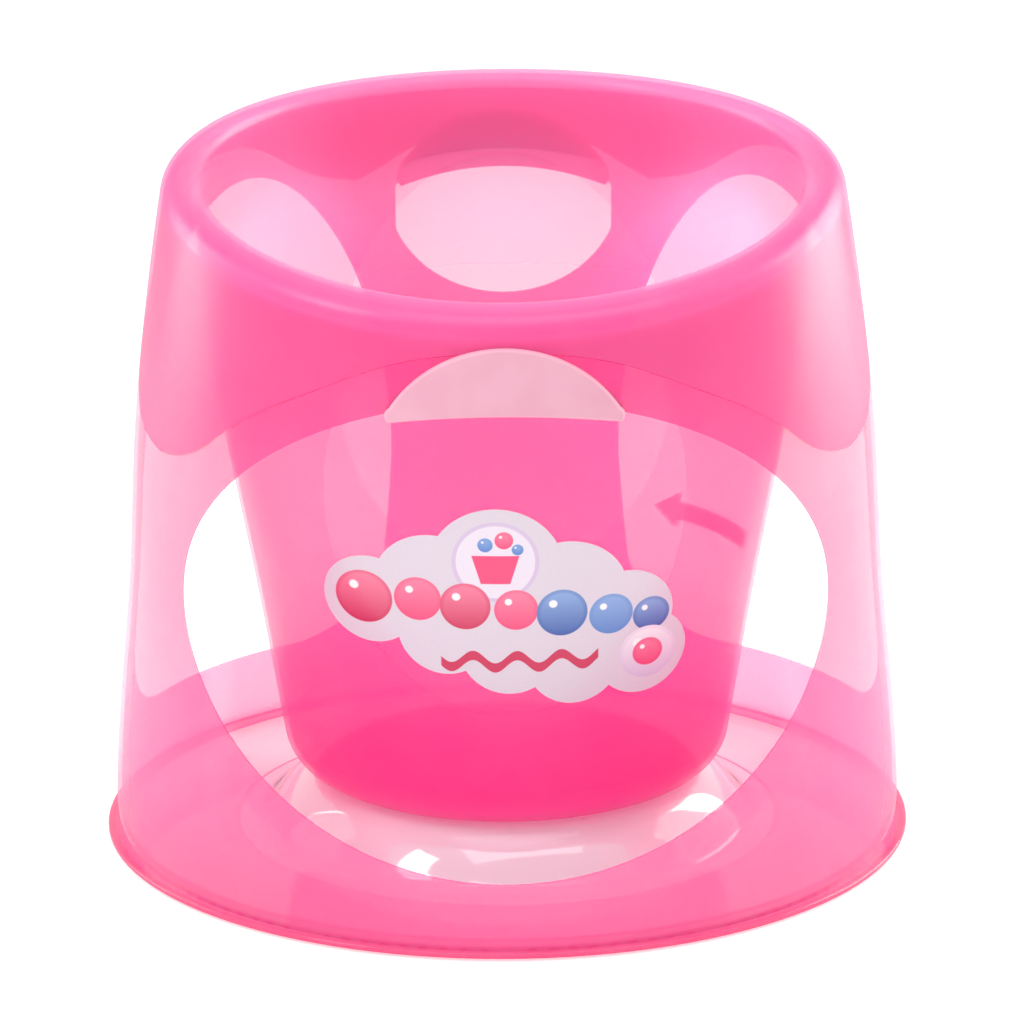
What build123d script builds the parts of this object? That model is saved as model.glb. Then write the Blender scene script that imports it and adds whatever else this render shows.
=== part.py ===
from build123d import *
import os
from math import cos, radians, sin

# Free-standing baby bathtub: a deep round bucket with a tilted rolled rim and a scalloped skirt,
# dropped into a cone-shaped stand that is open in front, at both sides and behind.
# Millimetres.  Z is up, the floor is z = 0, the axis of the bucket is the Z axis, the front faces -Y.
# Bearings run around the axis in degrees: 0 is the front (-Y) and 90 is the right side (+X).
# The wall of the whole body is measured inward from its outer line: that distance is an inset.

os.makedirs("parts", exist_ok=True)

# ---- the body's outer line and the bowl's inner line, as (radius, height) --------------------
wall_outline = [(243.8, 0), (242.2, 60), (237.4, 112), (232.3, 165), (227.9, 242), (220.2, 318),
                (209.4, 393), (195.5, 470)]
bowl_outline = [(131.5, 36.5), (143.6, 112), (152.2, 163), (167.0, 244), (177.2, 310), (182.6, 365),
                (181.6, 410), (174.5, 470)]

# ---- tub -------------------------------------------------------------------------------------
bucket_wall = 2.8
bucket_foot = 36.5           # underside of the bucket above the floor
bucket_corner = 30.0         # outside radius between the bucket's wall and its bottom
skirt_wall = 2.2
rim_side_height = 418.0      # top line of the rim at the left and the right
rim_slope = 0.155            # it rises towards the back by this slope
rim_crown = 0.00026          # and is crowned: it falls by this times the square of Y
rim_wall = 3.0
rim_outer_roll = 13.0        # roll of the rim into the skirt
rim_inner_roll = 9.0         # roll of the rim into the bowl
lobe_height = 266.0          # lowest line of the skirt

panel_depth = 0.75           # shallow panels inside, where the bucket's wall is thinner
oval_height = 250.0          # middle of the oval panels in front and behind
oval_half_width = 107.0
oval_half_height = 135.0
strip_half_width = 82.0      # tall panels on the left and the right
strip_low = 112.0
strip_top = 372.0

# Arches of the skirt's lower edge, as (distance across, height).
front_arch = [(-216, 265.4), (-204, 266.2), (-190, 270.5), (-160, 296), (-112, 326), (-64, 347),
              (0, 355), (64, 347), (112, 326), (160, 296), (190, 270.5), (204, 266.2), (216, 265.4)]
side_arch_bearing = 115.0
side_arch = [(-188, 264.9), (-174, 265.8), (-154, 270), (-130, 281), (-101, 307), (-72, 346),
             (-38, 383), (0, 400), (32, 403), (66, 395), (100, 376), (136, 365.6), (148, 364.6)]
back_arch = [(-109, 365.2), (-97, 366), (-74, 377), (-42, 393), (0, 400), (42, 393), (74, 377),
             (97, 366), (109, 365.2)]

tool_inset = 9.0             # the cutting tools reach this far into the wall
arch_start = 60.0            # the cutting tools begin this far from the axis
arch_reach = 3.0             # flat run past each end of an arch
disc_height = 230.0          # below this the cutting tools reach all round

# ---- stand -----------------------------------------------------------------------------------
floor_gap = 1.2              # the rubber feet hold the stand this far off the floor
flange_radius = 250.0
flange_thickness = 3.4
flange_fillet = 5.5
bead_depth = 3.6             # thick bead inside the foot
bead_height = 8.0
stand_wall = 2.8
lap_wall = 2.5               # stand's wall where the skirt covers it
fit_gap = 0.35               # clearance between the tub and the stand
lap_band = 4.0               # full-thickness band of the stand below the skirt's edge

front_centre = 186.0         # height of the middle of the front oval
front_half_width = 191.0
front_half_height = 142.0
side_bearing = 129.0         # middle of each side opening
side_half_width = 123.0
side_top = 380.0
side_shoulder = 165.0        # height where a side opening's arched top begins
side_low = 50.0
side_corner = 58.0
window_half_width = 70.0     # hand hole behind
window_top = 374.0
window_side_top = 362.0
window_side_low = 330.0
window_low = 283.0
window_corner = 7.0

# ---- grips -----------------------------------------------------------------------------------
grip_half_width = 66.0
grip_fall = 36.0             # the upper edge falls this much from its middle to its tips
front_grip_top = 358.0
front_grip_hang = 8.5         # the front grip's middle hangs this far below the opening's edge
back_grip_top = 409.0
grip_tip = 2.5               # bulge of the round tips
grip_proud = 5.0             # how far a grip stands out from the wall
grip_lip = 3.0               # thickness of the lip that wraps the opening's edge
grip_flap = 9.0              # height of the flap behind the wall
grip_roll = 2.4

# ---- base plate, feet and label --------------------------------------------------------------
plate_wall = 2.0
dome_radius = 168.0
dome_top_radius = 113.0
foot_pad_radius = 12.0
foot_pad_circle = 205.0
foot_pads = 6
label_height = 184.0
label_thickness = 0.3
cloud_puffs = [(-80, 2, 28), (-44, 14, 34), (-6, 26, 40), (36, 8, 36), (70, -8, 29), (80, -34, 27),
               (40, -34, 28), (2, -24, 30), (-36, -14, 28)]     # (across, rise, radius)

room = 700.0                 # larger than the object, for cutting tools


def facing(bearing):
    """Vertical plane through the axis whose normal points outward along the bearing."""
    outward = (sin(radians(bearing)), -cos(radians(bearing)), 0)
    across = (cos(radians(bearing)), sin(radians(bearing)), 0)
    return Plane(origin=(0, 0, 0), x_dir=across, z_dir=outward)


def turn_wall(inset, mode=Mode.ADD):
    """Turn everything inside the body's outer line, moved in by inset."""
    with BuildSketch(Plane.XZ) as section:
        with BuildLine():
            side = Spline(*[(radius - inset, height) for radius, height in wall_outline])
            Polyline(side @ 0, (0, wall_outline[0][1]), (0, wall_outline[-1][1]), side @ 1)
        make_face()
    revolve(section.sketch, axis=Axis.Z, mode=mode)


def turn_bowl(outset, floor, corner, mode=Mode.ADD):
    """Turn everything inside the bowl's line, moved out by outset, above a floor with a round corner."""
    with BuildSketch(Plane.XZ) as section:
        with BuildLine():
            side = Spline(*[(radius + outset, height) for radius, height in bowl_outline])
            Polyline(side @ 0, (0, bowl_outline[0][1]), (0, bowl_outline[-1][1]), side @ 1)
        make_face()
        with Locations((0, floor)):
            Rectangle(room, room, align=(Align.CENTER, Align.MAX), mode=Mode.SUBTRACT)
        fillet(section.vertices().group_by(Axis.Y)[0].sort_by(Axis.X)[-1], corner)
    revolve(section.sketch, axis=Axis.Z, mode=mode)


def rim_line(y, drop):
    """Point of the rim's top line in the middle plane, lowered by drop."""
    return (y, rim_side_height + rim_slope * y - rim_crown * y ** 2 - drop)


def cut_above(drop):
    """Cut away everything above the rim's crowned and tilted top surface, lowered by drop."""
    with BuildSketch(Plane.YZ) as lid:
        with BuildLine():
            ThreePointArc(rim_line(-flange_radius, drop), rim_line(0, drop), rim_line(flange_radius, drop))
            Polyline(rim_line(-flange_radius, drop), (-flange_radius, room), (flange_radius, room),
                     rim_line(flange_radius, drop))
        make_face()
    extrude(lid.sketch, amount=room / 2, both=True, mode=Mode.SUBTRACT)


def top_face(part):
    """The crowned face on top of a rim."""
    return part.faces().filter_by(GeomType.CYLINDER).sort_by(Axis.Z)[-1]


def under_arch(bearing, arch, drop):
    """Everything out along the bearing and below one arch of the skirt's edge, lowered by drop."""
    with BuildSketch(facing(bearing).offset(arch_start)) as region:
        with BuildLine():
            edge = Spline(*[(across, height - drop) for across, height in arch])
            Polyline(edge @ 0, ((edge @ 0).X - arch_reach, (edge @ 0).Y),
                     ((edge @ 0).X - arch_reach, 0), ((edge @ 1).X + arch_reach, 0),
                     ((edge @ 1).X + arch_reach, (edge @ 1).Y), edge @ 1)
        make_face()
    extrude(region.sketch, amount=room / 2)


def skirt_tools(drop):
    """Tools that cut a shell away below the skirt's scalloped edge, lowered by drop."""
    left_arch = [(-across, height) for across, height in reversed(side_arch)]
    arches = [(0, front_arch), (side_arch_bearing, side_arch), (-side_arch_bearing, left_arch),
              (180, back_arch)]
    tools = []
    for bearing, arch in arches:
        with BuildPart() as tool:
            under_arch(bearing, arch, drop)
            turn_wall(tool_inset, mode=Mode.SUBTRACT)
        tools.append(tool.part)
    with BuildPart() as ring:
        with BuildSketch(Plane.XY) as disc:
            Circle(room / 2)
        extrude(disc.sketch, amount=disc_height - drop)
        turn_wall(tool_inset, mode=Mode.SUBTRACT)
    tools.append(ring.part)
    return tools


def above_skirt_edge(outer_inset, inner_inset, drop):
    """Shell between two insets, above the skirt's scalloped edge lowered by drop."""
    with BuildPart() as shell:
        turn_wall(outer_inset)
        turn_wall(inner_inset, mode=Mode.SUBTRACT)
        for tool in skirt_tools(drop):
            add(tool, mode=Mode.SUBTRACT)
    return shell.part


def draw_front_oval(grow=0.0, mode=Mode.ADD):
    with Locations((0, front_centre)):
        Ellipse(front_half_width + grow, front_half_height + grow, mode=mode)


def draw_hand_hole(grow=0.0, mode=Mode.ADD):
    half = window_half_width + grow
    with BuildLine() as outline:
        ThreePointArc((-half, window_side_top + grow), (0, window_top + grow),
                      (half, window_side_top + grow))
        Line((half, window_side_top + grow), (half, window_side_low))
        ThreePointArc((half, window_side_low), (0, window_low - grow), (-half, window_side_low))
        Line((-half, window_side_low), (-half, window_side_top + grow))
    make_face(outline.edges(), mode=mode)


def side_opening(bearing):
    with BuildSketch(facing(bearing)) as opening:
        with Locations((0, side_shoulder)):
            Ellipse(side_half_width, side_top - side_shoulder)
            Rectangle(room, room, align=(Align.CENTER, Align.MAX), mode=Mode.SUBTRACT)
        with Locations((0, side_low)):
            Rectangle(2 * side_half_width, side_shoulder - side_low,
                      align=(Align.CENTER, Align.MIN))
        fillet(opening.vertices().group_by(Axis.Y)[0], side_corner)
    return opening.sketch


with BuildSketch(facing(0)) as front_opening:
    draw_front_oval()

with BuildSketch(facing(180)) as hand_hole:
    draw_hand_hole()
    fillet(hand_hole.vertices(), window_corner)


# ---- tub: bucket, bowl, rolled rim and skirt in one moulding -----------------------------------
with BuildPart() as rim_hollow:
    turn_wall(skirt_wall)
    cut_above(rim_wall)
    turn_bowl(bucket_wall, bucket_foot, bucket_corner, mode=Mode.SUBTRACT)
    fillet(top_face(rim_hollow).outer_wire().edges(), rim_outer_roll - rim_wall)
    fillet(top_face(rim_hollow).inner_wires()[0].edges(), rim_inner_roll - rim_wall)

with BuildPart() as panels:
    turn_bowl(panel_depth, bucket_foot + bucket_wall, bucket_corner - bucket_wall)
    turn_bowl(-1.0, bucket_foot + bucket_wall, bucket_corner - bucket_wall, mode=Mode.SUBTRACT)
    with BuildSketch(facing(0)) as oval_panel:
        with Locations((0, oval_height)):
            Ellipse(oval_half_width, oval_half_height)
    with BuildSketch(facing(90)) as strip_panel:
        with Locations((0, (strip_low + strip_top) / 2)):
            SlotOverall(strip_top - strip_low, 2 * strip_half_width, rotation=90)
    oval_tool = extrude(oval_panel.sketch, amount=room / 2, both=True, mode=Mode.PRIVATE)
    strip_tool = extrude(strip_panel.sketch, amount=room / 2, both=True, mode=Mode.PRIVATE)
    add(oval_tool + strip_tool, mode=Mode.INTERSECT)

with BuildPart() as tub:
    turn_wall(0)
    cut_above(0)
    fillet(top_face(tub).outer_wire().edges(), rim_outer_roll)
    add(rim_hollow.part, mode=Mode.SUBTRACT)
    for tool in skirt_tools(0):
        add(tool, mode=Mode.SUBTRACT)
    turn_bowl(0, bucket_foot + bucket_wall, bucket_corner - bucket_wall, mode=Mode.SUBTRACT)
    fillet(top_face(tub).inner_wires()[0].edges(), rim_inner_roll)
    add(panels.part, mode=Mode.SUBTRACT)
tub.part.label = "tub"
export_step(tub.part, "parts/tub.step")


# ---- stand: cone-shaped shell with a foot flange, four openings and a lap under the skirt --------
skirt_room = above_skirt_edge(-1.0, skirt_wall + fit_gap, 2 * fit_gap)
full_band = above_skirt_edge(stand_wall - 0.5, tool_inset - 1.0, lap_band)

with BuildPart() as thinning:
    turn_wall(stand_wall)
    turn_wall(tool_inset - 2.0, mode=Mode.SUBTRACT)
    add(full_band, mode=Mode.SUBTRACT)

with BuildPart() as stand:
    turn_wall(0)
    cut_above(rim_outer_roll + 1.5)
    turn_wall(skirt_wall + fit_gap + lap_wall, mode=Mode.SUBTRACT)
    add(skirt_room, mode=Mode.SUBTRACT)
    add(thinning.part, mode=Mode.SUBTRACT)
    extrude(front_opening.sketch, amount=room / 2, mode=Mode.SUBTRACT)
    extrude(hand_hole.sketch, amount=room / 2, mode=Mode.SUBTRACT)
    for bearing in (side_bearing, -side_bearing):
        extrude(side_opening(bearing), amount=room / 2, mode=Mode.SUBTRACT)
    with BuildSketch(Plane.XZ) as foot:
        wall_radius = wall_outline[0][0]
        with BuildLine():
            Polyline((wall_radius - stand_wall - bead_depth, floor_gap),
                     (flange_radius, floor_gap),
                     (flange_radius, floor_gap + flange_thickness),
                     (wall_radius - 0.4, floor_gap + flange_thickness),
                     (wall_radius - 0.4, floor_gap + bead_height + 2.0),
                     (wall_radius - stand_wall, floor_gap + bead_height),
                     (wall_radius - stand_wall - bead_depth, floor_gap + bead_height),
                     close=True)
        make_face()
        fillet(foot.vertices().sort_by(Axis.X)[-2:], 1.2)
    revolve(foot.sketch, axis=Axis.Z)
    with BuildSketch(Plane.XY) as below_foot:
        Circle(room / 2)
    extrude(below_foot.sketch, amount=floor_gap, mode=Mode.SUBTRACT)
stand.part.label = "stand"
export_step(stand.part, "parts/stand.step")


# ---- grips: soft crescents clipped over the upper edge of an opening ---------------------------
def make_grip(bearing, draw_opening, top, low_middle, low_side):
    with BuildSketch(facing(bearing)) as crescent:
        with BuildLine():
            upper = ThreePointArc((-grip_half_width, top - grip_fall), (0, top),
                                  (grip_half_width, top - grip_fall))
            lower = ThreePointArc((-grip_half_width, low_side), (0, low_middle),
                                  (grip_half_width, low_side))
            tip_middle = (top - grip_fall + low_side) / 2
            ThreePointArc(upper @ 0, (-grip_half_width - grip_tip, tip_middle), lower @ 0)
            ThreePointArc(upper @ 1, (grip_half_width + grip_tip, tip_middle), lower @ 1)
        make_face()
    with BuildSketch(facing(bearing)) as opening:
        draw_opening()
    with BuildSketch(facing(bearing)) as flap_limit:
        draw_opening(grip_flap)
    with BuildPart() as wall_room:
        turn_wall(-fit_gap)
        turn_wall(stand_wall, mode=Mode.SUBTRACT)
        extrude(opening.sketch, amount=room / 2, mode=Mode.SUBTRACT)
    with BuildPart() as behind_flap:
        turn_wall(stand_wall - 0.5)
        turn_wall(stand_wall + grip_lip + 1.0, mode=Mode.SUBTRACT)
        extrude(flap_limit.sketch, amount=room / 2, mode=Mode.SUBTRACT)
    with BuildPart() as grip:
        extrude(crescent.sketch, amount=room / 2)
        turn_wall(-grip_proud, mode=Mode.INTERSECT)
        turn_wall(stand_wall + grip_lip, mode=Mode.SUBTRACT)
        add(wall_room.part, mode=Mode.SUBTRACT)
        add(behind_flap.part, mode=Mode.SUBTRACT)
        face = max(grip.faces(), key=lambda f: (f.center().X ** 2 + f.center().Y ** 2, f.area))
        fillet(face.outer_wire().edges(), grip_roll)
    return grip.part


oval_share = (1 - (grip_half_width / front_half_width) ** 2) ** 0.5
front_edge_side = front_centre + front_half_height * oval_share
front_grip = make_grip(0, draw_front_oval, front_grip_top,
                       front_centre + front_half_height - front_grip_hang,
                       front_edge_side - front_grip_hang / 2 - 1.0)
front_grip.label = "front_grip"
export_step(front_grip, "parts/front_grip.step")

back_grip = make_grip(180, draw_hand_hole, back_grip_top,
                      window_top - grip_lip, window_side_top + 1.0 - grip_lip)
back_grip.label = "back_grip"
export_step(back_grip, "parts/back_grip.step")


# ---- base plate: flat floor of the stand that rises into a dome under the bucket -----------------
plate_low = floor_gap
plate_top = plate_low + plate_wall
dome_top = bucket_foot - fit_gap
dome_rise = dome_top - plate_top
dome_line = [(dome_top_radius, 1.0), (dome_top_radius + 14, 0.87), (dome_top_radius + 33, 0.32),
             (dome_radius, 0.0)]

with BuildPart() as base_plate:
    with BuildSketch(Plane.XZ) as plate_section:
        with BuildLine():
            plate_radius = wall_outline[0][0] - stand_wall - bead_depth
            upper = Spline(*[(radius, plate_top + dome_rise * share) for radius, share in dome_line],
                           tangents=[(1, 0), (1, 0)])
            lower = Spline(*[(radius, plate_low + dome_rise * share) for radius, share in dome_line],
                           tangents=[(1, 0), (1, 0)])
            Polyline(upper @ 1, (plate_radius, plate_top), (plate_radius, plate_low), lower @ 1)
            Polyline(upper @ 0, (0, dome_top), (0, dome_top - plate_wall), lower @ 0)
        make_face()
    revolve(plate_section.sketch, axis=Axis.Z)
base_plate.part.label = "base_plate"
export_step(base_plate.part, "parts/base_plate.step")


# ---- rubber feet: one group of equal pads under the base plate -----------------------------------
with BuildPart() as rubber_feet:
    with PolarLocations(foot_pad_circle, foot_pads, start_angle=90):
        Cylinder(foot_pad_radius, floor_gap, align=(Align.CENTER, Align.CENTER, Align.MIN))
rubber_feet.part.label = "rubber_feet"
export_step(rubber_feet.part, "parts/rubber_feet.step")


# ---- label: thin cloud-shaped sticker on the front of the bucket ---------------------------------
with BuildPart() as label:
    turn_bowl(bucket_wall + label_thickness, bucket_foot, bucket_corner)
    turn_bowl(bucket_wall, bucket_foot, bucket_corner, mode=Mode.SUBTRACT)
    with BuildSketch(facing(0)) as cloud:
        for across, rise, radius in cloud_puffs:
            with Locations((across, label_height + rise)):
                Circle(radius)
    extrude(cloud.sketch, amount=room / 2, mode=Mode.INTERSECT)
label.part.label = "label"
export_step(label.part, "parts/label.step")
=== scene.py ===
from math import cos, pi, radians, sin

import bpy
from mathutils import Euler, Matrix, Vector


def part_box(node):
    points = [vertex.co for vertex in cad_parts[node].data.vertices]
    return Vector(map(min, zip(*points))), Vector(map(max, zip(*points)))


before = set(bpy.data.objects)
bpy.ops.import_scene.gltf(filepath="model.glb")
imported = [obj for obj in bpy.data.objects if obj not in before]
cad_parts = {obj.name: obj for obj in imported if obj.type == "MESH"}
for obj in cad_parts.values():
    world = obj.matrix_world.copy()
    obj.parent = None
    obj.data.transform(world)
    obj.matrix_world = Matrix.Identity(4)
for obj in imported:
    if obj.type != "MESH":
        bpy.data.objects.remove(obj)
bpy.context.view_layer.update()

# Baby bathtub: a see-through pink tub with a tilted rolled rim and a scalloped skirt, standing in a
# cone-shaped see-through stand with a glossy base.  Metres, Z up, the front faces -Y.

# ---- driving values ------------------------------------------------------------------------------
label_low, label_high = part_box("label")

mm = 0.001
label_middle = 0.5 * (label_low[2] + label_high[2]) - 3 * mm

panel_height = 250 * mm          # middle of the oval panels in the bucket's wall
panel_half_width = 107 * mm
panel_half_height = 135 * mm
bucket_reach = 186 * mm          # the bucket and the bowl lie within this radius
skirt_reach = 200 * mm           # the skirt lies outside this radius
dome_reach = 169 * mm            # the base plate's dome starts at this radius
foot_reach = 250 * mm            # outer radius of the stand's foot flange
foot_height = 14 * mm            # the stand is denser below this height

arrow_tip = radians(51.5)        # the arrow on the bucket's wall, as an angle round the Z axis
arrow_radius = 160 * mm
arrow_height = 167 * mm          # of its middle above the floor
arrow_length = 105 * mm
arrow_head = 21 * mm             # length of its head
arrow_spread = 0.55              # half width of its head per length
arrow_half_width = 5.5 * mm      # of its shaft

# The label's print, in millimetres from its middle: soap bubbles as (across, rise, radius), a round
# badge with a small tub, and a wave.
bubble_row = [(-84, 4, 17), (-52, 7, 14), (-24, 4, 15), (6, 2, 13), (33, -1, 15), (62, -5, 13),
              (86, -9, 11)]
corner_bubble = (84, -34, 17)
corner_core = (84, -34, 9)
small_bubbles = [(-12, 44, 4.5), (-1, 47, 5.5), (7, 41, 3.5)]
badge_across, badge_rise, badge_radius = -6, 33, 26
cup_rise, cup_half_height, cup_half_width, cup_flare = 28, 9.1, 11.4, 0.3
wave_across, wave_rise, wave_half_span, wave_length, wave_height = 8, -32, 46.5, 26, 4

room_light = 0.95                # brightness of the white room behind, above and beside the object
front_light = 0.68               # brightness of the studio behind the camera

camera_distance = 3.0
camera_elevation = 16.41
camera_roll = -0.38
camera_aim = Vector((0.0, 0.0, 0.1981))
camera_lens = 170.8
camera_shift = 0.0065


# ---- small helpers for node trees ------------------------------------------------------------------
class Tree:
    """A material's node tree with short calls for the nodes used here."""

    def __init__(self, name):
        self.material = bpy.data.materials.new(name)
        self.material.use_nodes = True
        self.nodes = self.material.node_tree.nodes
        self.links = self.material.node_tree.links
        self.nodes.clear()
        self.out = self.nodes.new("ShaderNodeOutputMaterial")

    def add(self, kind, inputs=None, **settings):
        node = self.nodes.new(kind)
        for key, value in settings.items():
            setattr(node, key, value)
        for key, value in (inputs or {}).items():
            self.put(node.inputs[key], value)
        return node

    def put(self, socket, value):
        if isinstance(value, bpy.types.NodeSocket):
            self.links.new(value, socket)
        else:
            socket.default_value = value

    def math(self, operation, a, b=0.0, clamp=False):
        return self.add("ShaderNodeMath", {0: a, 1: b}, operation=operation, use_clamp=clamp).outputs[0]

    def length(self, a, b):
        return self.math("SQRT", self.math("ADD", self.math("MULTIPLY", a, a),
                                           self.math("MULTIPLY", b, b)))

    def ramp(self, value, low, high, to_low=0.0, to_high=1.0):
        """Smooth step of a value from low to high."""
        node = self.add("ShaderNodeMapRange", {"Value": value, "From Min": low, "From Max": high,
                                               "To Min": to_low, "To Max": to_high},
                        interpolation_type="SMOOTHSTEP")
        return node.outputs["Result"]

    def mix(self, share, a, b):
        node = self.add("ShaderNodeMix", data_type="RGBA")
        self.put(node.inputs["Factor"], share)
        self.put(node.inputs[6], a)
        self.put(node.inputs[7], b)
        return node.outputs[2]

    def place(self):
        """The point in the object's own frame, then its X, Y and Z."""
        coords = self.add("ShaderNodeTexCoord").outputs["Object"]
        parts = self.add("ShaderNodeSeparateXYZ", {0: coords})
        return coords, parts.outputs[0], parts.outputs[1], parts.outputs[2]

    def noise(self, coords, per_metre, detail=2.0, roughness=0.5, distortion=0.0):
        return self.add("ShaderNodeTexNoise", {"Vector": coords, "Scale": per_metre, "Detail": detail,
                                               "Roughness": roughness,
                                               "Distortion": distortion}).outputs["Fac"]

    def bump(self, height, depth, strength=1.0, normal=None):
        node = self.add("ShaderNodeBump", {"Height": height, "Distance": depth, "Strength": strength})
        if normal is not None:
            self.put(node.inputs["Normal"], normal)
        return node.outputs["Normal"]

    def finish(self, shader):
        self.links.new(shader, self.out.inputs["Surface"])
        return self.material


def rgb(red, green, blue):
    """Linear colour from 8-bit sRGB values."""
    def linear(value):
        value /= 255
        return value / 12.92 if value <= 0.04045 else ((value + 0.055) / 1.055) ** 2.4
    return (linear(red), linear(green), linear(blue), 1.0)


# ---- materials -----------------------------------------------------------------------------------
def moulded_surface(tree, coords, shine, wobble=1.0):
    """Roughness and normal of injection-moulded plastic: slow ripples, fine grain and hairline rubs."""
    slow = tree.noise(coords, 14, 1.5)
    grain = tree.noise(coords, 900, 2.0)
    stretched = tree.add("ShaderNodeMapping", {"Vector": coords, "Scale": (1, 1, 0.08)}).outputs[0]
    rubs = tree.ramp(tree.noise(stretched, 420, 4.0, 0.65), 0.62, 0.75)
    roughness = tree.math("ADD", shine, tree.math("MULTIPLY", grain, 0.05))
    roughness = tree.math("ADD", roughness, tree.math("MULTIPLY", rubs, 0.08), clamp=True)
    normal = tree.bump(slow, 1.2 * mm * wobble, 0.35)
    normal = tree.bump(grain, 0.01 * mm, 0.15, normal)
    return roughness, normal


def clear_plastic(name, colour, veil, shine, vary, wobble=1.0, coat_shine=0.05, glow_share=0.5):
    """See-through plastic: each face has a coloured layer of opacity veil.

    The share glow_share of the layer's colour comes from light behind it.
    """
    tree = Tree(name)
    coords, x, y, z = tree.place()
    roughness, normal = moulded_surface(tree, coords, shine, wobble)
    cloudy = tree.noise(coords, 22, 3.0, 0.55)
    colour, veil = vary(tree, x, y, z, colour, veil)
    colour = tree.mix(tree.ramp(cloudy, 0.3, 0.75, 0.0, 0.04), colour, rgb(255, 214, 232))
    gloss = tree.add("ShaderNodeBsdfPrincipled", {"Base Color": colour, "Roughness": roughness,
                                                  "Normal": normal, "IOR": 1.5,
                                                  "Specular IOR Level": 0.8,
                                                  "Coat Weight": 1.0, "Coat Roughness": coat_shine})
    glow = tree.add("ShaderNodeBsdfTranslucent", {"Color": colour, "Normal": normal})
    layer = tree.add("ShaderNodeMixShader", {0: glow_share, 1: gloss.outputs[0], 2: glow.outputs[0]})
    clear = tree.add("ShaderNodeBsdfTransparent")
    cover = tree.add("ShaderNodeMixShader", {0: veil, 1: clear.outputs[0], 2: layer.outputs[0]})
    return tree.finish(cover.outputs[0])


def stand_plastic():
    """Clear cone, deeper in colour towards its top and at the lip of its foot."""
    def vary(tree, x, y, z, colour, veil):
        foot = tree.ramp(z, 0.0, foot_height, 1.0, 0.0)
        high = tree.ramp(z, 40 * mm, 220 * mm)
        veil = tree.math("ADD", veil, tree.math("MULTIPLY", foot, 0.22))
        veil = tree.math("ADD", veil, tree.math("MULTIPLY", high, 0.06))
        lip = tree.ramp(tree.length(x, y), foot_reach - 8 * mm, foot_reach - 3 * mm)
        colour = tree.mix(high, colour, rgb(250, 80, 170))
        return tree.mix(lip, colour, rgb(250, 48, 140)), veil
    return clear_plastic("stand_plastic", rgb(254, 118, 190), 0.50, 0.10, vary)


def draw_arrow(tree, x, y, z):
    """Share of an arrow on the bucket's right-hand wall that points to the back."""
    angle = tree.math("ARCTAN2", y, x)
    back = tree.math("MULTIPLY", tree.math("SUBTRACT", arrow_tip, angle), arrow_radius)
    off = tree.math("ABSOLUTE", tree.math("SUBTRACT", z, arrow_height))
    soft = 0.5 * mm
    past_head = tree.ramp(back, arrow_head - soft, arrow_head + soft)
    slope = tree.math("SUBTRACT", off, tree.math("MULTIPLY", back, arrow_spread))
    head = tree.ramp(slope, soft, -soft)
    head = tree.math("MULTIPLY", head, tree.math("SUBTRACT", 1.0, past_head))
    shaft = tree.ramp(off, arrow_half_width + soft, arrow_half_width - soft)
    shaft = tree.math("MULTIPLY", shaft, past_head)
    shaft = tree.math("MULTIPLY", shaft, tree.ramp(back, arrow_length, arrow_length - 2 * soft))
    return tree.math("ADD", head, shaft, clamp=True)


def tub_plastic():
    """Clear bucket, thinner in its oval panels, with a milkier skirt and rim; the bowl is milkier and
    painted paler towards its top as painted light from above, and the bucket is painted deeper pink
    towards its bottom as painted shade.
    """
    def vary(tree, x, y, z, colour, veil):
        radius = tree.length(x, y)
        bucket = tree.ramp(radius, skirt_reach, bucket_reach)
        # Deeper pink and denser towards the bucket's bottom: painted shade from the stand and base
        # round it.
        low = tree.math("MULTIPLY", tree.ramp(z, 150 * mm, 60 * mm), bucket)
        # Paler and denser towards the bowl's top: painted light from above, and a milkier wall.
        high = tree.math("MULTIPLY", tree.ramp(z, 290 * mm, 380 * mm), bucket)
        across = tree.math("DIVIDE", x, panel_half_width)
        rise = tree.math("DIVIDE", tree.math("SUBTRACT", z, panel_height), panel_half_height)
        panel = tree.math("MULTIPLY", tree.ramp(tree.length(across, rise), 1.01, 0.99), bucket)
        arrow = tree.math("MULTIPLY", draw_arrow(tree, x, y, z), bucket)
        for share, step in ((bucket, -0.24), (low, 0.08), (high, 0.08), (panel, -0.06), (arrow, 0.3)):
            veil = tree.math("ADD", veil, tree.math("MULTIPLY", share, step))
        colour = tree.mix(bucket, colour, rgb(255, 84, 176))
        # Painted light: the bowl's top is mixed towards a paler pink.
        colour = tree.mix(high, colour, rgb(255, 156, 214))
        colour = tree.mix(arrow, colour, rgb(250, 60, 150))
        # Painted shade: the bucket's bottom is mixed towards a deeper pink.
        return tree.mix(low, colour, rgb(255, 74, 176)), veil
    return clear_plastic("tub_plastic", rgb(255, 110, 189), 0.66, 0.30, vary, coat_shine=0.32)


def plate_plastic():
    """Nearly white base with a line round its dome; round the dome it is painted pinker in front than
    behind, as painted shade and pink-tinted light from the tub.
    """
    def vary(tree, x, y, z, colour, veil):
        reach = tree.length(x, y)
        dome = tree.ramp(reach, dome_reach + 1 * mm, dome_reach - 1 * mm)
        off_edge = tree.math("ABSOLUTE", tree.math("SUBTRACT", reach, dome_reach))
        edge = tree.ramp(off_edge, 1.6 * mm, 0.4 * mm)
        # Painted shade and pink-tinted light: the ring round the dome is pinker in front and paler
        # behind.
        painted_light_ring = tree.mix(tree.ramp(y, -60 * mm, 130 * mm), rgb(252, 186, 216), rgb(252, 244, 248))
        colour = tree.mix(dome, painted_light_ring, colour)
        return tree.mix(edge, colour, rgb(240, 150, 190)), veil
    return clear_plastic("plate_plastic", rgb(255, 236, 246), 0.95, 0.05, vary, wobble=0.5,
                         glow_share=0.15)


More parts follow.
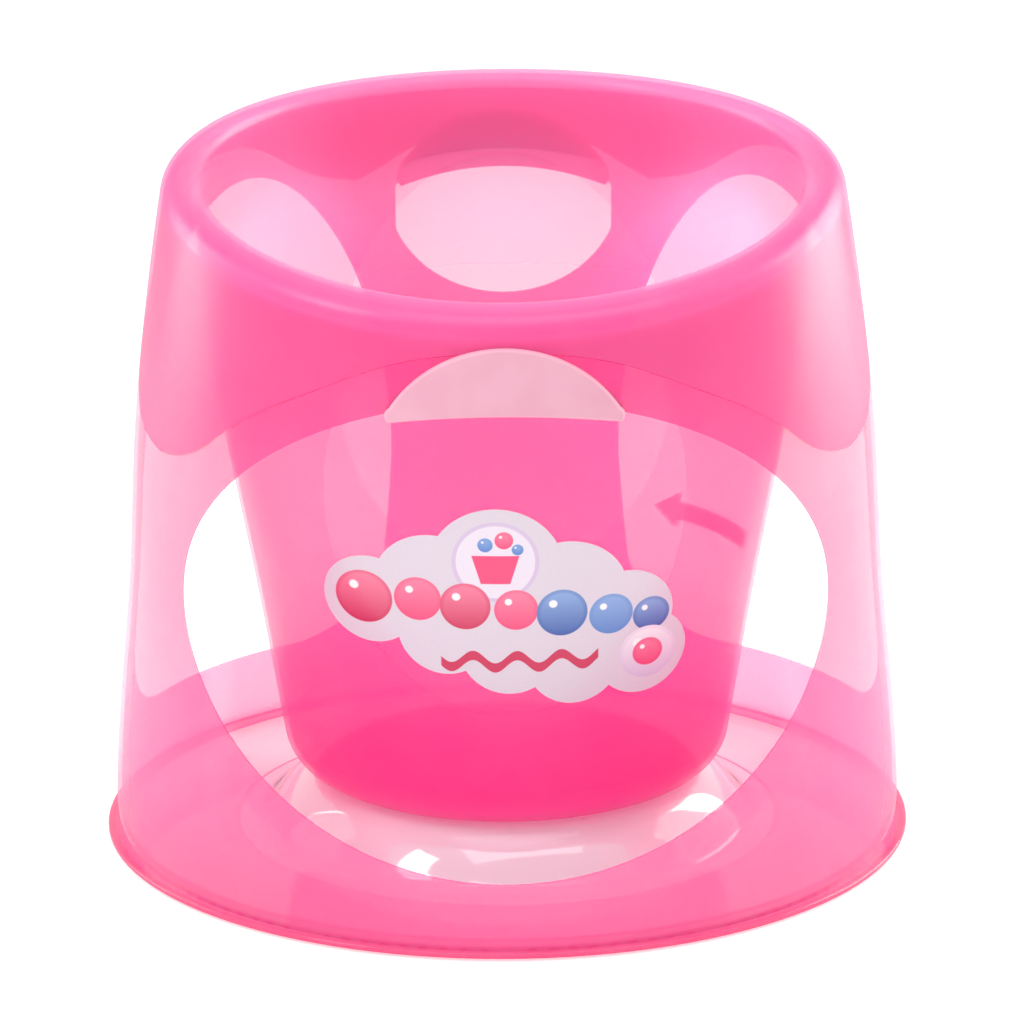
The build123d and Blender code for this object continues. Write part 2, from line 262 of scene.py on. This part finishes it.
def grip_rubber():
    """Soft matt rubber that lets a little light through."""
    tree = Tree("grip_rubber")
    coords = tree.place()[0]
    grain = tree.noise(coords, 1500, 3.0, 0.6)
    soft = tree.noise(coords, 40, 2.0)
    colour = tree.mix(tree.ramp(soft, 0.3, 0.7), rgb(242, 178, 200), rgb(245, 185, 206))
    roughness = tree.math("ADD", 0.38, tree.math("MULTIPLY", grain, 0.16))
    normal = tree.bump(grain, 0.05 * mm, 0.5)
    body = tree.add("ShaderNodeBsdfPrincipled", {"Base Color": colour, "Roughness": roughness,
                                                 "Normal": normal, "IOR": 1.45})
    glow = tree.add("ShaderNodeBsdfTranslucent", {"Color": colour, "Normal": normal})
    layer = tree.add("ShaderNodeMixShader", {0: 0.15, 1: body.outputs[0], 2: glow.outputs[0]})
    return tree.finish(layer.outputs[0])


def foot_rubber():
    """Pale rubber with a fine grain."""
    tree = Tree("foot_rubber")
    coords = tree.place()[0]
    grain = tree.noise(coords, 2200, 3.0)
    colour = tree.mix(tree.ramp(grain, 0.3, 0.7), rgb(242, 226, 233), rgb(248, 236, 242))
    normal = tree.bump(grain, 0.06 * mm, 0.6)
    body = tree.add("ShaderNodeBsdfPrincipled", {"Base Color": colour, "Roughness": 0.7,
                                                 "Normal": normal})
    return tree.finish(body.outputs[0])


def draw_bubble(tree, colour, x, up, across, rise, radius, paint, tint):
    """A round soap bubble: painted rim, tinted towards its top, and a small glint."""
    dx = tree.math("SUBTRACT", x, across * mm)
    dz = tree.math("SUBTRACT", up, rise * mm)
    reach = tree.length(dx, dz)
    disc = tree.ramp(reach, (radius + 0.3) * mm, (radius - 0.3) * mm)
    rim = tree.ramp(reach, (radius - 3.0) * mm, (radius - 1.2) * mm, 0.0, 0.35)
    lit = tree.math("ADD", tree.math("DIVIDE", dz, 2 * radius * mm), 0.5, clamp=True)
    shade = tree.mix(lit, paint, tint)
    shade = tree.mix(rim, shade, paint)
    glint = tree.length(tree.math("ADD", dx, 0.35 * radius * mm),
                        tree.math("SUBTRACT", dz, 0.4 * radius * mm))
    shade = tree.mix(tree.ramp(glint, 0.2 * radius * mm, 0.12 * radius * mm), shade, rgb(255, 255, 255))
    return tree.mix(disc, colour, shade)


def label_film():
    """White vinyl film with a generic print: a row of soap bubbles, a wave and a small tub."""
    tree = Tree("label_film")
    coords, x, _, z = tree.place()
    up = tree.math("SUBTRACT", z, label_middle)
    fibre = tree.noise(coords, 1200, 2.0)
    colour = tree.mix(tree.ramp(fibre, 0.3, 0.8, 0.0, 0.4), rgb(222, 214, 226), rgb(210, 202, 216))
    pale, rose, ruby = rgb(214, 196, 226), rgb(240, 66, 124), rgb(205, 24, 84)
    sky, sea = rgb(84, 132, 205), rgb(44, 88, 172)
    disc = tree.length(tree.math("SUBTRACT", x, badge_across * mm),
                       tree.math("SUBTRACT", up, badge_rise * mm))
    for radius, paint in ((badge_radius, pale), (badge_radius - 2.4, rgb(236, 228, 242))):
        colour = tree.mix(tree.ramp(disc, radius * mm, (radius - 0.6) * mm), colour, paint)
    warm, cool, white = rgb(248, 130, 165), rgb(140, 176, 228), rgb(248, 244, 250)
    row_paints = [(ruby, warm), (rose, warm), (ruby, warm), (rose, warm), (sea, cool), (sky, cool),
                  (sea, cool)]
    small_paints = [(sky, cool), (rose, warm), (sky, cool)]
    bubbles = bubble_row + [corner_bubble, corner_core] + small_bubbles
    paints = row_paints + [(pale, white), (rose, warm)] + small_paints
    for bubble, (paint, tint) in zip(bubbles, paints):
        colour = draw_bubble(tree, colour, x, up, *bubble, paint, tint)
    wave = tree.math("SINE", tree.math("MULTIPLY", x, 2 * pi / (wave_length * mm)))
    wave = tree.math("MULTIPLY", wave, wave_height * mm)
    off_wave = tree.math("SUBTRACT", tree.math("SUBTRACT", up, wave_rise * mm), wave)
    stroke = tree.ramp(tree.math("ABSOLUTE", off_wave), 3.4 * mm, 2.8 * mm)
    across = tree.math("ABSOLUTE", tree.math("SUBTRACT", x, wave_across * mm))
    inside = tree.ramp(across, (wave_half_span + 0.5) * mm, (wave_half_span - 0.5) * mm)
    colour = tree.mix(tree.math("MULTIPLY", stroke, inside), colour, ruby)
    rise = tree.math("SUBTRACT", up, cup_rise * mm)
    half = tree.math("ADD", cup_half_width * mm, tree.math("MULTIPLY", rise, cup_flare))
    across = tree.math("ABSOLUTE", tree.math("SUBTRACT", x, badge_across * mm))
    cup = tree.math("MULTIPLY", tree.ramp(tree.math("SUBTRACT", across, half), 0.4 * mm, -0.4 * mm),
                    tree.ramp(tree.math("ABSOLUTE", rise), (cup_half_height + 0.3) * mm,
                              (cup_half_height - 0.3) * mm))
    colour = tree.mix(cup, colour, rose)
    normal = tree.bump(fibre, 0.03 * mm, 0.4)
    film = tree.add("ShaderNodeBsdfPrincipled", {"Base Color": colour, "Roughness": 0.28,
                                                 "Normal": normal, "Coat Weight": 0.4,
                                                 "Coat Roughness": 0.1})
    return tree.finish(film.outputs[0])


finishes = {"tub": tub_plastic(), "stand": stand_plastic(), "base_plate": plate_plastic(),
            "front_grip": grip_rubber(), "rubber_feet": foot_rubber(), "label": label_film()}
finishes["back_grip"] = finishes["front_grip"]
for node, finish in finishes.items():
    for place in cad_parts[node].material_slots:
        place.material = finish


# ---- floor, light and camera -------------------------------------------------------------------------
def make_floor():
    """A wide sheet of white paper that glows a little, so that it stays white round the object."""
    half = 12.0
    mesh = bpy.data.meshes.new("floor")
    mesh.from_pydata([(-half, -half, 0), (half, -half, 0), (half, half, 0), (-half, half, 0)], [],
                     [(0, 1, 2, 3)])
    floor = bpy.data.objects.new("floor", mesh)
    bpy.context.scene.collection.objects.link(floor)
    tree = Tree("floor_paper")
    coords = tree.place()[0]
    fibre = tree.noise(coords, 60, 3.0)
    colour = tree.mix(fibre, (0.60, 0.60, 0.60, 1), (0.63, 0.63, 0.63, 1))
    paper = tree.add("ShaderNodeBsdfPrincipled", {"Base Color": colour, "Roughness": 0.9,
                                                  "Specular IOR Level": 0.1,
                                                  "Emission Color": (1, 1, 1, 1),
                                                  "Emission Strength": 0.5})
    mesh.materials.append(tree.finish(paper.outputs[0]))


def softbox(name, place, width, height, radiance, colour=(1, 1, 1)):
    """Rectangular lamp of the given brightness, turned to the object's middle."""
    data = bpy.data.lights.new(name, "AREA")
    data.shape = "RECTANGLE"
    data.size = width
    data.size_y = height
    data.energy = radiance * pi * width * height
    data.color = colour
    lamp = bpy.data.objects.new(name, data)
    lamp.location = place
    lamp.rotation_euler = (camera_aim - Vector(place)).to_track_quat("-Z", "Y").to_euler()
    bpy.context.scene.collection.objects.link(lamp)


def light_studio():
    """A white room, brighter to the eye than as a light, and four softboxes."""
    world = bpy.data.worlds.new("studio")
    bpy.context.scene.world = world
    world.use_nodes = True
    nodes, links = world.node_tree.nodes, world.node_tree.links
    room = nodes["Background"]
    room.inputs["Color"].default_value = (1, 1, 1, 1)
    facing = nodes.new("ShaderNodeSeparateXYZ")
    links.new(nodes.new("ShaderNodeTexCoord").outputs["Generated"], facing.inputs[0])
    fall = nodes.new("ShaderNodeMapRange")
    fall.interpolation_type = "SMOOTHSTEP"
    for key, value in {"From Min": -0.9, "From Max": 0.1, "To Min": front_light,
                       "To Max": room_light}.items():
        fall.inputs[key].default_value = value
    links.new(facing.outputs["Y"], fall.inputs["Value"])
    links.new(fall.outputs["Result"], room.inputs["Strength"])
    seen = nodes.new("ShaderNodeBackground")
    seen.inputs["Color"].default_value = (1, 1, 1, 1)
    path = nodes.new("ShaderNodeLightPath")
    choice = nodes.new("ShaderNodeMixShader")
    links.new(path.outputs["Is Camera Ray"], choice.inputs[0])
    links.new(room.outputs[0], choice.inputs[1])
    links.new(seen.outputs[0], choice.inputs[2])
    links.new(choice.outputs[0], nodes["World Output"].inputs["Surface"])
    warm = (1.0, 0.93, 0.76)
    softbox("softbox_back_right", (1.65, 0.95, 0.85), 1.4, 1.7, 6.5, warm)
    softbox("softbox_back_left", (-1.6, 0.7, 0.75), 0.8, 1.4, 4.5, warm)
    softbox("softbox_front_left", (-1.5, -0.9, 2.0), 0.5, 0.9, 9)
    softbox("softbox_top", (0.1, -0.35, 2.1), 1.5, 1.1, 2.0)


def place_camera():
    """In front of the object, looking a little down and turned slightly about its own axis."""
    data = bpy.data.cameras.new("camera")
    data.sensor_width = 36.0
    data.lens = camera_lens
    data.shift_x = camera_shift
    data.clip_end = 100.0
    camera = bpy.data.objects.new("camera", data)
    tilt = radians(camera_elevation)
    camera.location = camera_aim + camera_distance * Vector((0, -cos(tilt), sin(tilt)))
    turn = Euler((pi / 2 - tilt, 0, 0)).to_matrix() @ Matrix.Rotation(radians(camera_roll), 3, "Z")
    camera.rotation_euler = turn.to_euler()
    bpy.context.scene.collection.objects.link(camera)
    bpy.context.scene.camera = camera


def set_colours():
    """Plain sRGB output, and enough bounces to see through all the walls."""
    scene = bpy.context.scene
    scene.view_settings.view_transform = "Standard"
    scene.view_settings.look = "None"
    scene.cycles.max_bounces = 5
    scene.cycles.diffuse_bounces = 3
    scene.cycles.glossy_bounces = 2
    scene.cycles.transparent_max_bounces = 24
    scene.cycles.use_denoising = True


make_floor()
light_studio()
place_camera()
set_colours()
